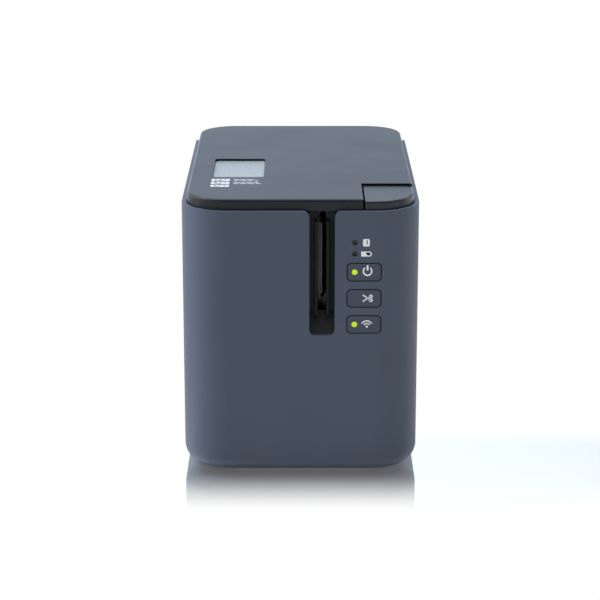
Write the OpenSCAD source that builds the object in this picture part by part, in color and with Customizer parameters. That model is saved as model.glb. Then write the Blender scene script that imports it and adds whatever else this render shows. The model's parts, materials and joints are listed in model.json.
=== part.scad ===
// Desktop label printer: cassette-fed, tape exit slot and three keys on the front,
// hinged top cover with a window and a corner release button.
// Millimetres. +X right, +Y to the rear, +Z up. Origin at the centre of the footprint.

/* [Overall size] */
// width of the housing
body_w = 118; // [112:1:150]
// depth of the housing
body_d = 192; // [184:1:240]
// height from the table to the top of the cover
body_h = 142.4; // [138:0.2:180]
// plan radius of the two front corners
front_r = 23; // [16:0.5:26]
// plan radius of the two rear corners
rear_r = 16; // [12:0.5:20]
// radius along the bottom edge
bottom_r = 9.5; // [6:0.5:10]

/* [Walls and gaps] */
// thickness of the housing walls
wall = 2.4; // [2:0.1:3]
// thickness of the cover's plate
lid_t = 2.2; // [1.8:0.1:3]
// gap between the housing wall and the cover skirt
lid_gap = 0.3; // [0.2:0.05:0.5]
// gap between parts that are fitted into each other
fit_gap = 0.3; // [0.2:0.05:0.4]
// radial running clearance of shafts in their bores
run_gap = 0.06; // [0.03:0.01:0.1]
// height the housing stands off the table on its feet
foot_gap = 1.5; // [1:0.1:3]
// height of the cover above the front wall
lid_step = 5.5; // [5:0.1:7]
// radius along the cover's top edge
lid_edge_r = 1.4; // [0.8:0.1:2]

/* [Keys and lamps] */
// width of a key
key_w = 16.3; // [14:0.1:18]
// height of a key
key_h = 8.5; // [7:0.1:10]
// corner radius of a key
key_r = 1.8; // [1:0.1:3]
// distance from the centre line to the keys
key_x = 31.3; // [30:0.1:34]
// height of the lowest key's centre above the housing bottom
key_z = 78.2; // [70:0.1:84]
// spacing of the keys
key_pitch = 13.35; // [12:0.05:14]
// gap round a key
key_gap = 0.5; // [0.2:0.05:0.5]
// travel of a key
key_travel = 0.8; // [0.4:0.1:1]
// radius of the lamp in a key
lamp_r = 1.4; // [1:0.1:2]
// radius of a status lamp's hole
status_r = 1.4; // [1:0.1:2]

/* [Tape path] */
// width of the exit slot
slot_w = 12.5; // [8:0.5:14]
// distance from the centre line to the tape
tape_x = 10.6; // [8:0.1:12]
// height of the exit slot's lower edge above the housing bottom
slot_z = 72.5; // [66:0.5:76]
// width of the tape
tape_w = 36; // [24:1:36]
// thickness of the tape
tape_t = 0.3; // [0.2:0.05:0.4]
// radius of the tape roll
roll_r = 21; // [14:0.5:21.5]
// radius of the platen roller
platen_r = 6; // [5:0.1:6.5]
// distance of the platen roller from the front of the housing
platen_y = 46; // [45:0.5:48]
// angle the roller holder swings open
holder_swing = 8; // [4:1:9]

/* [Cassette] */
// width of the cassette
cas_w = 57; // [50:0.5:58]
// length of the cassette
cas_d = 78; // [72:0.5:80]
// height of the cassette
cas_h = 44; // [40:0.5:46]

/* [Gears] */
// gear module
gear_m = 0.8; // [0.7:0.05:0.85]
// thickness of the feed gears
gear_t = 5; // [3:0.5:6]
// teeth on the feed motor's pinion
pinion_n = 12; // [11:1:14]
// teeth on the idler gear
idler_n = 36; // [34:1:38]
// teeth on the platen gear
platen_n = 18; // [17:1:19]
// teeth on the ribbon gear
ribbon_n = 24; // [22:1:26]
// teeth on a full circle of the cutter's sector
sector_n = 40; // [36:2:44]

/* [Cover and release button] */
// width of the window
window_w = 26.4; // [20:0.2:30]
// length of the window
window_d = 44.5; // [34:0.5:46]
// depth of the pane below the cover's top
pane_drop = 1.2; // [0.6:0.1:1.4]
// travel of the release button
button_travel = 2.5; // [1.5:0.1:3]
// height of the cover hinge below the cover's top
hinge_drop = 17; // [16:0.5:19]
// radius of the hinge pins
pin_r = 2; // [1.5:0.1:2.5]
// angle the cover opens
lid_swing = 86; // [60:1:88]

/* [Hidden] */
$fn = 64;
eps = 0.01;
skin = 20;

front_y = -body_d/2;
rear_y = body_d/2;
half_w = body_w/2;
floor_z = foot_gap;
inner_z = floor_z + wall;
rim_z = body_h - lid_step;
inner_w = body_w - 2*wall;
inner_d = body_d - 2*wall;
wall_y = front_y + wall;

// cover outline
lid_inset = wall + lid_gap;
lid_w = body_w - 2*lid_inset;
lid_d = body_d - 2*lid_inset;
lid_front_r = front_r - lid_inset;
lid_rear_r = rear_r + 4;
lid_wall = 2;
lid_under = body_h - lid_t;
skirt_z = rim_z - 0.4;

// cover hinge and the low rear edge it needs
hinge_y = rear_y - 12;
hinge_z = body_h - hinge_drop;
rear_rim_z = hinge_z - 10.4;
rear_skirt_z = rear_rim_z + 0.6;
rim_end_y = hinge_y;
rim_end_r = 6;
brk_x = 34;
brk_t = 4;
knuckle_x = 40;
knuckle_t = 6;
boss_r = 5;

// inner deck and cassette bay
deck_t = 2.5;
deck_z = rim_z - 10.5;
deck_top = deck_z + deck_t;
deck_end = hinge_y - 14;
bay_t = 2;
bay_gap = 1;
cas_x1 = tape_x + 1.9;
cas_x0 = cas_x1 - cas_w;
cas_y0 = front_y + 30;
cas_y1 = cas_y0 + cas_d;
cas_z0 = deck_top + 1 - cas_h;
cas_z1 = cas_z0 + cas_h;
bay_z = cas_z0 - bay_t;
bay_front = cas_y0 - 3;
well_x1 = tape_x + 25;
well_y1 = cas_y0 + 46;
tape_z = cas_z0 + (cas_h - tape_w)/2;

// tape feed, seen from above
platen_x = tape_x + tape_t/2 + 0.25 + platen_r;
plat_y = front_y + platen_y;
press_r = 4.5;
press_x = tape_x + tape_t/2 + 0.25 + press_r;
press_y = plat_y - 12;
pivot_x = tape_x + 18.4;
pivot_y = cas_y0 + 39;
pivot_r = 2.5;
arm_t = 2.5;
arm_z0 = cas_z0 + 0.6;
arm_z1 = cas_z1 - arm_t + 0.8;
shaft_r = 2;

// gears
gear_z = bay_z - 2 - gear_t;
plate_t = 1.5;
plate_z = gear_z - 1.5 - plate_t;
idler_dist = gear_m*(idler_n + platen_n)/2;
idler_dir = 150;
idler_x = platen_x + idler_dist*cos(idler_dir);
idler_y = plat_y + idler_dist*sin(idler_dir);
pinion_dist = gear_m*(idler_n + pinion_n)/2;
pinion_dir = -80;
pinion_x = idler_x + pinion_dist*cos(pinion_dir);
pinion_y = idler_y + pinion_dist*sin(pinion_dir);
ribbon_dist = gear_m*(idler_n + ribbon_n)/2;
ribbon_dir = 220;
take_x = idler_x + ribbon_dist*cos(ribbon_dir);
take_y = idler_y + ribbon_dist*sin(ribbon_dir);
supply_x = cas_x0 + 10;
supply_y = cas_y0 + 23;
roll_x = cas_x0 + 28;
roll_y = cas_y1 - 25;
spool_r = 7;

// cutter, seen from the front
cut_y = front_y + 20.6;
blade_t = 1.2;
frame_t = 1.4;
blade_pivot_x = tape_x + 4;
blade_pivot_z = bay_z - 5;
sector_pn = 12;
sector_dist = gear_m*(sector_n + sector_pn)/2;
sector_dir = -42;
cut_pin_x = blade_pivot_x + sector_dist*cos(sector_dir);
cut_pin_z = blade_pivot_z + sector_dist*sin(sector_dir);
blade_open = 15;
cut_motor_r = 8.5;
cutter_x0 = tape_x - 15;
cutter_x1 = tape_x + 27;
cutter_z0 = cut_pin_z - 12;

// key panel behind the front wall
board_t = 1.6;
board_y = wall_y + 7;
panel_x0 = key_x - key_w/2 - 3.2;
panel_x1 = key_x + key_w/2 + 5.5;
panel_z0 = floor_z + key_z - key_h/2 - 10;
panel_z1 = deck_z - 1;
lamp_x = key_x - 4.7;
status_z = [floor_z + key_z + 2*key_pitch + 9.3, floor_z + key_z + 2*key_pitch + 15];

// release button and its latch
btn_x = 31.6;
btn_rear = front_y + 37.2;
notch_x = btn_x - 1;
notch_rear = btn_rear + 1;
btn_top = body_h - 1;
btn_skirt = skirt_z - 2.5;
stem_x = btn_x + 13;
stem_y = front_y + 24;
stem_r = 3.2;
stem_z0 = deck_z - 15;
latch_y = stem_y + 10;
latch_z = stem_z0 - 2.5;
latch_w = 8;
hook_y = notch_rear + 5.5;

// board at the bottom and its sockets
brd_z = inner_z + 10;
brd_x = body_w/2 - 11;
brd_y0 = rear_y - 116;
brd_y1 = rear_y - 5;
sock_z = brd_z + board_t;
panel_y = rear_y - 0.8;
open_w = 80;
open_z0 = inner_z + bottom_r - wall + 1.4;
open_z1 = sock_z + 28;
usb_x = 0;
serial_x = 22;
jack_x = -26;
usb_w = 12;
usb_h = 11;
serial_w = 15;
serial_h = 13;
jack_w = 9.5;
jack_h = 11;
face_y = panel_y + 0.3;

// ---------------------------------------------------------------- shared shapes

// half section of a tub: straight wall with a rounded lower edge
module edge_profile(rc, re, z0, z1) {
    translate([0, z0 + re]) square([rc, z1 - z0 - re]);
    translate([0, z0]) square([rc - re, z1 - z0]);
    translate([rc - re, z0 + re]) circle(re);
}

// solid block with round corners in plan and a round lower edge
module tub(w, d, rf, rb, re, z0, z1) {
    for (sx = [0, 1]) mirror([sx, 0, 0]) {
        translate([w/2 - rf, -(d/2 - rf), 0]) rotate([0, 0, -90])
            rotate_extrude(angle = 90) edge_profile(rf, re, z0, z1);
        translate([w/2 - rb, d/2 - rb, 0])
            rotate_extrude(angle = 90) edge_profile(rb, re, z0, z1);
        translate([w/2 - rb, d/2 - rb, 0]) rotate([90, 0, 0])
            linear_extrude(d - rf - rb) edge_profile(rb, re, z0, z1);
    }
    translate([w/2 - rf, -(d/2 - rf), 0]) rotate([0, 0, -90])
        rotate([90, 0, 0]) linear_extrude(w - 2*rf) edge_profile(rf, re, z0, z1);
    translate([-(w/2 - rb), d/2 - rb, 0]) rotate([0, 0, 90])
        rotate([90, 0, 0]) linear_extrude(w - 2*rb) edge_profile(rb, re, z0, z1);
    translate([-(w/2 - rb), -(d/2 - rf), z0]) cube([w - 2*rb, d - rf - rb, z1 - z0]);
}

// the same block upside down, for parts of the cover
module cap(w, d, rf, rb, re, z0, z1) {
    mirror([0, 0, 1]) tub(w, d, rf, rb, re, -z1, -z0);
}

// box given by two corners
module box(lo, hi) {
    translate(lo) cube([for (i = [0:2]) hi[i] - lo[i]]);
}

// rectangle with exact round corners, centred
module round_rect(w, h, r) {
    square([w - 2*r, h], center = true);
    square([w, h - 2*r], center = true);
    for (sx = [-1, 1], sy = [-1, 1])
        translate([sx*(w/2 - r), sy*(h/2 - r)]) circle(r);
}

// flat part drawn from the front, from y0 back to y1
module from_front(y0, y1) {
    translate([0, y1, 0]) rotate([90, 0, 0]) linear_extrude(y1 - y0) children();
}

// flat part drawn from the right side, from x0 to x1
module from_side(x0, x1) {
    translate([x0, 0, 0]) rotate([90, 0, 90]) linear_extrude(x1 - x0) children();
}

// one point of an involute, at radius r on base radius rb
function roll_angle(r, rb) = let(a = acos(min(1, rb/r))) tan(a)*180/PI - a;

// outline of a gear whose first tooth is centred on the angle given
module gear_outline(n, phase) {
    rp = gear_m*n/2;
    rb = rp*cos(25);
    ra = rp + 0.8*gear_m;
    rd = rp - 1.05*gear_m;
    half = 90/n - 0.05/rp*180/PI + roll_angle(rp, rb);
    radii = [for (k = [0:4]) max(rb, rd) + (ra - max(rb, rd))*k/4];
    polygon([for (i = [0:n - 1]) let(c = phase + i*360/n) each concat(
        [[rd*cos(c - half), rd*sin(c - half)]],
        [for (k = [0:4]) let(a = c - half + roll_angle(radii[k], rb))
            [radii[k]*cos(a), radii[k]*sin(a)]],
        [for (k = [4:-1:0]) let(a = c + half - roll_angle(radii[k], rb))
            [radii[k]*cos(a), radii[k]*sin(a)]],
        [[rd*cos(c + half), rd*sin(c + half)]])]);
}

// tooth position of a gear of np teeth that meshes with one of n teeth, along direction dir
function mesh_phase(dir, phase, n, np) = dir + 180 + (dir - phase)*n/np + 180/np;

module shaft(x, y, z0, z1, r) {
    translate([x, y, z0]) cylinder(h = z1 - z0, r = r);
}

module pin_x(y, z, x0, x1, r) {
    translate([x0, y, z]) rotate([0, 90, 0]) cylinder(h = x1 - x0, r = r);
}

module pin_y(x, z, y0, y1, r) {
    translate([x, y1, z]) rotate([90, 0, 0]) cylinder(h = y1 - y0, r = r);
}

// ---------------------------------------------------------------- housing

// exit slot with flared upper corners, seen from the front
module slot_outline() {
    flare = 3.2;
    bottom = floor_z + slot_z;
    translate([tape_x, (bottom + rim_z)/2]) round_rect(slot_w, rim_z - bottom, 2.5);
    translate([tape_x - slot_w/2, rim_z - 10]) square([slot_w, 20]);
    for (s = [0, 1]) translate([tape_x, 0]) mirror([s, 0]) difference() {
        translate([slot_w/2 - eps, rim_z - flare]) square([flare + eps, flare + 5]);
        translate([slot_w/2 + flare, rim_z - flare]) circle(flare);
        translate([slot_w/2 + flare, rim_z - flare - 1]) square([skin, skin]);
    }
}

module key_outlines(grow) {
    for (i = [0:2]) translate([key_x, floor_z + key_z + i*key_pitch])
        round_rect(key_w + 2*grow, key_h + 2*grow, key_r + grow);
}

base_w = body_w - 2*bottom_r - 2;
base_d = body_d - 2*bottom_r - 2;
base_r = 14;
base_t = 2.6;
boss_x = base_w/2 - 3.8;
boss_y = body_d/2 - 34;
boss_top = brd_z - 0.6;

module main_housing() {
    color([0.20, 0.23, 0.28]) difference() {
        union() {
            difference() {
                tub(body_w, body_d, front_r, rear_r, bottom_r, floor_z, rim_z);
                tub(inner_w, inner_d, front_r - wall, rear_r - wall, bottom_r - wall,
                    inner_z, rim_z + 1);
                // bottom opening for the base plate
                translate([0, 0, floor_z - 1]) linear_extrude(wall + 2)
                    round_rect(base_w + 2*fit_gap, base_d + 2*fit_gap, base_r + fit_gap);
            }
            // rear shelf that closes the housing behind the deck
            intersection() {
                box([-half_w + 1, deck_end, hinge_z - 17.4], [half_w - 1, rear_y - 1, hinge_z - 15]);
                tub(body_w - wall, body_d - wall, front_r - wall/2, rear_r - wall/2, 1,
                    floor_z, rim_z);
            }
            // ledges the deck rests on, and the ribs and screw bosses of the base
            for (s = [0, 1]) mirror([s, 0, 0]) {
                box([inner_w/2 - 3, front_y + 42, deck_z - 2.5],
                    [inner_w/2 + wall/2, deck_end - 8, deck_z]);
                for (y = [-boss_y, boss_y]) {
                    shaft(boss_x, y, floor_z + base_t + 0.05, boss_top, 3.5);
                    box([boss_x, y - 1.2, floor_z + 0.6*bottom_r],
                        [inner_w/2 + wall/2, y + 1.2, boss_top]);
                }
            }
            // bosses behind the front wall for the key board
            for (p = [[panel_x1 - 3.5, panel_z1 - 5], [panel_x1 - 3.5, panel_z0 + 4],
                    [panel_x0 + 4, panel_z0 + 4]])
                pin_y(p[0], p[1], front_y + wall/2, board_y, 2.2);
        }
        // low rear edge under the cover's rear skirt
        from_side(-half_w - 1, half_w + 1) difference() {
            translate([rim_end_y - rim_end_r, rear_rim_z]) square([skin + 20, skin + 20]);
            translate([rim_end_y - rim_end_r, rear_rim_z - 1])
                square([rim_end_r, rim_z - rim_end_r - rear_rim_z + 1]);
            translate([rim_end_y - rim_end_r, rim_z - rim_end_r]) circle(rim_end_r);
        }
        from_front(front_y - 1, wall_y + 1) slot_outline();
        from_front(front_y - 1, wall_y + 1) key_outlines(key_gap);
        for (z = status_z) pin_y(lamp_x, z, front_y - 1, wall_y + 1, status_r);
        from_front(rear_y - wall - 1, rear_y + 1) translate([0, (open_z0 + open_z1)/2])
            round_rect(open_w, open_z1 - open_z0, 3);
        for (sx = [-1, 1], y = [-boss_y, boss_y])
            shaft(sx*boss_x, y, floor_z - 1, boss_top - 1.5, 1.3);
    }
}

foot_x = base_w/2 - 10;
foot_y = base_d/2 - 10;
foot_r = 7;
foot_in = 0.8;

module base_plate() {
    color([0.13, 0.15, 0.18]) difference() {
        union() {
            translate([0, 0, floor_z]) linear_extrude(base_t) round_rect(base_w, base_d, base_r);
            for (p = board_screws) shaft(p[0], p[1], floor_z + 1, brd_z, 3.2);
        }
        for (sx = [-1, 1], y = [-foot_y, foot_y])
            shaft(sx*foot_x, y, floor_z - 1, floor_z + foot_in, foot_r + fit_gap);
        for (sx = [-1, 1], y = [-boss_y, boss_y]) {
            shaft(sx*boss_x, y, floor_z - 1, floor_z + 4, 1.7);
            shaft(sx*boss_x, y, floor_z - 1, floor_z + 1.3, 3.1);
        }
    }
}

board_screws = [[-brd_x + 6, brd_y0 + 6], [brd_x - 6, brd_y0 + 6],
    [-brd_x + 6, brd_y1 - 13], [brd_x - 6, brd_y1 - 13]];

module base_screws() {
    color([0.6, 0.6, 0.62]) for (sx = [-1, 1], y = [-boss_y, boss_y]) difference() {
        union() {
            shaft(sx*boss_x, y, floor_z + 0.3, floor_z + 1.3, 2.8);
            shaft(sx*boss_x, y, floor_z + 1, boss_top - 2.5, 1.25);
        }
        translate([sx*boss_x - 1.8, y - 0.3, floor_z]) cube([3.6, 0.6, 0.8]);
        translate([sx*boss_x - 0.3, y - 1.8, floor_z]) cube([0.6, 3.6, 0.8]);
    }
}

module feet() {
    color([0.07, 0.07, 0.08]) for (sx = [-1, 1], y = [-foot_y, foot_y])
        translate([sx*foot_x, y, 0]) rotate_extrude() {
            translate([0, 0.5]) square([foot_r, floor_z + foot_in - 0.5]);
            square([foot_r - 0.5, floor_z + foot_in]);
        }
}

module socket_openings(grow) {
    for (p = [[usb_x, usb_w, usb_h], [serial_x, serial_w, serial_h], [jack_x, jack_w, jack_h]])
        translate([p[0] - p[1]/2 - grow, sock_z - grow]) square([p[1] + 2*grow, p[2] + 2*grow]);
}

module rear_panel() {
    color([0.13, 0.15, 0.18]) difference() {
        union() {
            from_front(rear_y - wall - 1, panel_y) translate([0, (open_z0 + open_z1)/2])
                round_rect(open_w - 2*fit_gap, open_z1 - open_z0 - 2*fit_gap, 3 - fit_gap);
            from_front(rear_y - wall - 2.2, rear_y - wall - 0.2)
                translate([0, (open_z0 + open_z1)/2 + 1.4])
                round_rect(open_w + 6, open_z1 - open_z0 + 5.2, 3);
        }
        from_front(rear_y - 8, rear_y + 1) socket_openings(fit_gap);
    }
}

// ---------------------------------------------------------------- tape exit

module slot_liner() {
    side = 1.6;
    x0 = tape_x - slot_w/2 - side;
    x1 = tape_x + slot_w/2 + side;
    y0 = wall_y;
    y1 = cut_y - 8.6;
    z0 = floor_z + slot_z - 2.5;
    z1 = skirt_z - 2;
    ramp = 10;
    color([0.09, 0.10, 0.12]) {
        difference() {
            box([x0, y0, z0], [x1, y1, z1]);
            box([x0 + side, y0 - 1, z0 + 1.5], [x1 - side, y1 - 1.6, z1 + 1]);
            box([tape_x - 2, y1 - 3, z0 + 2.5 + ramp], [tape_x + 2, y1 + 1, z1 + 1]);
        }
        from_side(x0 + side - eps, x1 - side + eps) polygon([[y0, z0 + 1], [y0, z0 + 2.2],
            [y1 - 1.6 + eps, z0 + 2 + ramp], [y1 - 1.6 + eps, z0 + 1]]);
        // guide fins either side of the tape
        for (s = [-1, 1])
            box([tape_x + s*3 - 0.5, y0 + 4, z0 + 1 + ramp], [tape_x + s*3 + 0.5, y1 - 1, z1 - 4]);
    }
}

// ---------------------------------------------------------------- deck and bay

// plan of the cassette pocket and the roller well beside it
module bay_outline(grow) {
    translate([cas_x0 - bay_gap - grow, bay_front - grow])
        square([cas_w + 2*bay_gap + 2*grow, cas_y1 + bay_gap - bay_front + 2*grow]);
    translate([cas_x0 + 20, bay_front - grow])
        square([well_x1 + grow - cas_x0 - 20, well_y1 - bay_front + 2*grow]);
}

module deck_plan() {
    difference() {
        intersection() {
            union() {
                translate([-lid_w/2, front_y + lid_inset + lid_front_r])
                    square([lid_w, deck_end - front_y - lid_inset - lid_front_r]);
                translate([-lid_w/2 + lid_front_r, front_y + lid_inset])
                    square([lid_w - 2*lid_front_r, deck_end - front_y - lid_inset]);
                for (s = [-1, 1])
                    translate([s*(lid_w/2 - lid_front_r), front_y + lid_inset + lid_front_r])
                        circle(lid_front_r);
            }
            translate([-half_w, front_y]) square([body_w, deck_end - front_y]);
        }
        // cutter and tape exit
        translate([cutter_x0 - 1, cut_y - 8.9])
            square([cutter_x1 - cutter_x0 + 2, bay_front - bay_t - cut_y + 8.9]);
        translate([tape_x - slot_w/2 - 2.2, front_y]) square([slot_w + 4.4, 20]);
        // latch
        translate([stem_x - latch_w/2 - 1, latch_y - 4])
            square([latch_w + 2, hook_y + 4 - latch_y + 4]);
        translate([stem_x, stem_y]) circle(stem_r + 0.35);
    }
}

module inner_deck() {
    color([0.16, 0.18, 0.21]) difference() {
        union() {
            difference() {
                translate([0, 0, deck_z]) linear_extrude(deck_t) deck_plan();
                translate([0, 0, deck_z - 1]) linear_extrude(deck_t + 2) bay_outline(0);
            }
            translate([0, 0, bay_z]) linear_extrude(deck_z + eps - bay_z) difference() {
                bay_outline(bay_t);
                bay_outline(0);
            }
            translate([0, 0, bay_z]) linear_extrude(bay_t) bay_outline(bay_t);
            // apron at the rear, down to the housing's shelf
            box([-lid_w/2 + 0.2, deck_end - 2, hinge_z - 15], [lid_w/2 - 0.2, deck_end, deck_z + eps]);
            // guide of the release button's stem
            shaft(stem_x, stem_y, deck_z - 6, deck_z + eps, stem_r + 2);
        }
        shaft(stem_x, stem_y, deck_z - 10, deck_top + 1, stem_r + 0.35);
        // way of the tape to the cutter
        box([tape_x - 3, bay_front - bay_t - 1, bay_z + bay_t],
            [tape_x + 3, bay_front + 1, deck_top + 1]);
        // platen shaft, ribbon spindle and head cable pass through the floor
        box([platen_x - shaft_r - 1.2, plat_y - 5, bay_z - 1],
            [platen_x + shaft_r + 6, plat_y + 4.4, bay_z + bay_t + 1]);
        shaft(take_x, take_y, bay_z - 1, bay_z + bay_t + 1, 4);
        box([cable_x - 0.4, cable_y - cable_t - 0.4, bay_z - 1],
            [cable_x + cable_w + 0.4, cable_y + 0.4, bay_z + bay_t + 1]);
        shaft(pivot_x, pivot_y, bay_z - 1, bay_z + bay_t + 1, pivot_r);
        // hinge brackets pass the apron and are screwed to the deck
        for (sx = [-1, 1])
            box([sx*brk_x - brk_t/2 - 0.3, deck_end - 3, hinge_z - 5.5],
                [sx*brk_x + brk_t/2 + 0.3, deck_end + 1, deck_z]);
        for (sx = [-1, 1], y = [deck_end - 12, deck_end - 4])
            shaft(sx*brk_x, y, deck_z - 1, deck_top + 1, 1.1);
    }
}

module hinge_brackets() {
    color([0.55, 0.56, 0.58]) for (sx = [-1, 1]) difference() {
        union() {
            from_side(sx*brk_x - brk_t/2, sx*brk_x + brk_t/2) {
                translate([hinge_y, hinge_z]) circle(boss_r);
                translate([deck_end - 16, hinge_z - 5])
                    square([hinge_y - deck_end + 16, deck_z - hinge_z + 5]);
            }
            box([sx*brk_x - 6, deck_end - 16, deck_z - 2], [sx*brk_x + 6, deck_end - 2.2, deck_z]);
        }
        pin_x(hinge_y, hinge_z, sx*brk_x - brk_t, sx*brk_x + brk_t, pin_r);
        for (y = [deck_end - 12, deck_end - 4]) shaft(sx*brk_x, y, deck_z - 6, deck_z + 1, 1.1);
    }
}

module hinge_pins() {
    color([0.75, 0.76, 0.78]) for (s = [0, 1]) mirror([s, 0, 0])
        pin_x(hinge_y, hinge_z, brk_x - brk_t/2 - 1, knuckle_x + knuckle_t/2 + 1, pin_r);
}

// ---------------------------------------------------------------- chassis

frame_x0 = take_x - 16;
frame_x1 = cut_pin_x + cut_motor_r + 1.9;
frame_y0 = cut_y + blade_t + frame_t;
frame_y1 = brd_y0 - 2;

module support_frame() {
    foot = 10;
    color([0.62, 0.64, 0.66]) for (p = [[frame_x0, frame_x0], [frame_x1 - plate_t, frame_x1 - foot]])
        difference() {
            union() {
                box([p[0], frame_y0, floor_z + base_t], [p[0] + plate_t, frame_y1, plate_z]);
                box([p[1], frame_y0, floor_z + base_t], [p[1] + foot, frame_y1,
                    floor_z + base_t + plate_t]);
            }
            for (y = [frame_y0 + 8, frame_y1 - 8])
                shaft(p[1] + foot/2, y, floor_z, floor_z + base_t + 5, 1.7);
        }
}

module gear_plate() {
    color([0.66, 0.68, 0.70]) difference() {
        union() {
            box([frame_x0, frame_y0, plate_z], [frame_x1, frame_y1, plate_z + plate_t]);
            for (p = plate_posts) shaft(p[0], p[1], plate_z + plate_t - 0.5, bay_z, 2.4);
        }
        shaft(pinion_x, pinion_y, plate_z - 1, plate_z + plate_t + 1, 6);
        shaft(idler_x, idler_y, plate_z - 1, plate_z + plate_t + 1, shaft_r);
        shaft(take_x, take_y, plate_z - 1, plate_z + plate_t + 1, shaft_r + run_gap);
    }
}

plate_posts = [[frame_x0 + 4, frame_y0 + 4], [well_x1 - 3, frame_y0 + 4],
    [frame_x0 + 4, frame_y1 - 4], [well_x1 - 3, frame_y1 - 4]];

module idler_post() {
    color([0.75, 0.76, 0.78]) shaft(idler_x, idler_y, plate_z - 1, bay_z, shaft_r);
}

// ---------------------------------------------------------------- cassette

cav_x0 = tape_x - 10.6;
cav_y0 = plat_y - 9.5;
cav_y1 = plat_y + 13.5;

// plan of the cassette: a block with the head cavity cut out of its right side
module cassette_plan(inset) {
    difference() {
        translate([cas_x0 + inset, cas_y0 + inset]) square([cas_w - 2*inset, cas_d - 2*inset]);
        translate([cav_x0 - inset, cav_y0 - inset])
            square([skin, cav_y1 - cav_y0 + 2*inset]);
        translate([tape_x - 0.7 - inset, cas_y0 - 1]) square([skin, cav_y0 - cas_y0 + 1 + inset]);
    }
}

// drawn corners of the cassette are rounded by the plan below
module cassette_block(z0, z1, inset) {
    translate([0, 0, z0]) linear_extrude(z1 - z0) intersection() {
        cassette_plan(inset);
        translate([cas_x0 + cas_w/2, cas_y0 + cas_d/2])
            round_rect(cas_w - 2*inset, cas_d - 2*inset, 5 - inset);
    }
}

cas_wall = 1.5;
cas_mid = cas_z0 + cas_h*0.42;

// tape slot out of the cassette's right side
module cassette_exits() {
    box([tape_x - 0.75, cav_y1 - 1, tape_z - 0.5],
        [tape_x + 0.75, cav_y1 + cas_wall + 1, tape_z + tape_w + 0.5]);
}

module cassette_lower() {
    color([0.86, 0.87, 0.88]) difference() {
        cassette_block(cas_z0, cas_mid, 0);
        cassette_block(cas_z0 + cas_wall, cas_mid + 1, cas_wall);
        cassette_exits();
        for (p = [[roll_x, roll_y], [take_x, take_y], [supply_x, supply_y]])
            shaft(p[0], p[1], cas_z0 - 1, cas_z0 + cas_wall + 1, 4);
    }
}

module cassette_upper() {
    color([0.86, 0.87, 0.88]) difference() {
        cassette_block(cas_mid, cas_z1, 0);
        cassette_block(cas_mid - 1, cas_z1 - cas_wall, cas_wall);
        cassette_exits();
        translate([0, 0, cas_z1 - 0.3]) linear_extrude(1) label_plan(0.1);
        for (p = [[take_x, take_y], [supply_x, supply_y]])
            shaft(p[0], p[1], cas_z1 - cas_wall - 1, cas_z1 + 1, 4);
    }
}

module label_plan(grow) {
    translate([cas_x0 + 18, cas_y0 + 48]) round_rect(30 + 2*grow, 46 + 2*grow, 1.5);
}

module cassette_label() {
    color([0.93, 0.94, 0.95]) translate([0, 0, cas_z1 - 0.3]) linear_extrude(0.3) label_plan(0);
}

// stretch of tape from the cassette to the cutter
module tape_strip() {
    color([0.95, 0.95, 0.93])
        box([tape_x - tape_t/2, cut_y + blade_t + 0.5, tape_z],
            [tape_x + tape_t/2, cav_y1 + 1, tape_z + tape_w]);
}

module spool(x, y, r) {
    difference() {
        union() {
            shaft(x, y, tape_z, tape_z + tape_w, r);
            shaft(x, y, cas_z0 + 0.4, cas_z1 - 0.4, 3.7);
        }
        shaft(x, y, cas_z0 - 1, cas_z1 + 1, 2.6);
    }
}

module tape_roll() {
    color([0.95, 0.95, 0.93]) difference() {
        union() {
            shaft(roll_x, roll_y, tape_z, tape_z + tape_w, roll_r);
            shaft(roll_x, roll_y, cas_z0 + 0.4, cas_z1 - cas_wall - 0.5, 3.7);
        }
        shaft(roll_x, roll_y, cas_z0 - 1, cas_z1 + 1, 2.6);
    }
}

module ribbon_supply() {
    color([0.10, 0.10, 0.12]) spool(supply_x, supply_y, spool_r);
}

module ribbon_takeup() {
    color([0.10, 0.10, 0.12]) spool(take_x, take_y, spool_r - 1);
}

module ribbon_spindle() {
    phase = mesh_phase(ribbon_dir, 0, idler_n, ribbon_n);
    color([0.85, 0.85, 0.82]) {
        translate([take_x, take_y, gear_z]) linear_extrude(gear_t) gear_outline(ribbon_n, phase);
        shaft(take_x, take_y, plate_z - 0.5, cas_z1 - 6, shaft_r);
        for (a = [0:60:300]) translate([take_x, take_y, cas_z0 + 2]) rotate([0, 0, a])
            translate([0, -0.4, 0]) cube([2.5, 0.8, cas_h - 12]);
    }
}

// ---------------------------------------------------------------- head and rollers

module print_head() {
    color([0.88, 0.86, 0.80]) {
        box([tape_x - 1.6, plat_y - 6, tape_z - 1.5], [tape_x - 0.7, plat_y + 6, tape_z + tape_w + 1]);
        box([tape_x - 0.7, plat_y - 0.6, tape_z], [tape_x - 0.35, plat_y + 0.6, tape_z + tape_w]);
    }
}

module head_heat_sink() {
    color([0.72, 0.73, 0.75]) {
        box([tape_x - 3.8, plat_y - 6.5, cas_z0], [tape_x - 1.6, plat_y + 6.5, cas_z1 - 2]);
        box([tape_x - 9, plat_y - 6.5, cas_z0], [tape_x - 3.7, plat_y + 6.5, cas_z0 + 2]);
        for (y = [-6.5, -0.8, 4.9])
            box([tape_x - 6.5, plat_y + y, cas_z0 + 1], [tape_x - 3.7, plat_y + y + 1.6, cas_z1 - 6]);
    }
}

cable_x = tape_x - 7.6;
cable_w = 6;
cable_t = 0.6;
cable_y = cav_y1 - 1.5;
cable_end_y = brd_y0 + 1.5;

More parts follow.
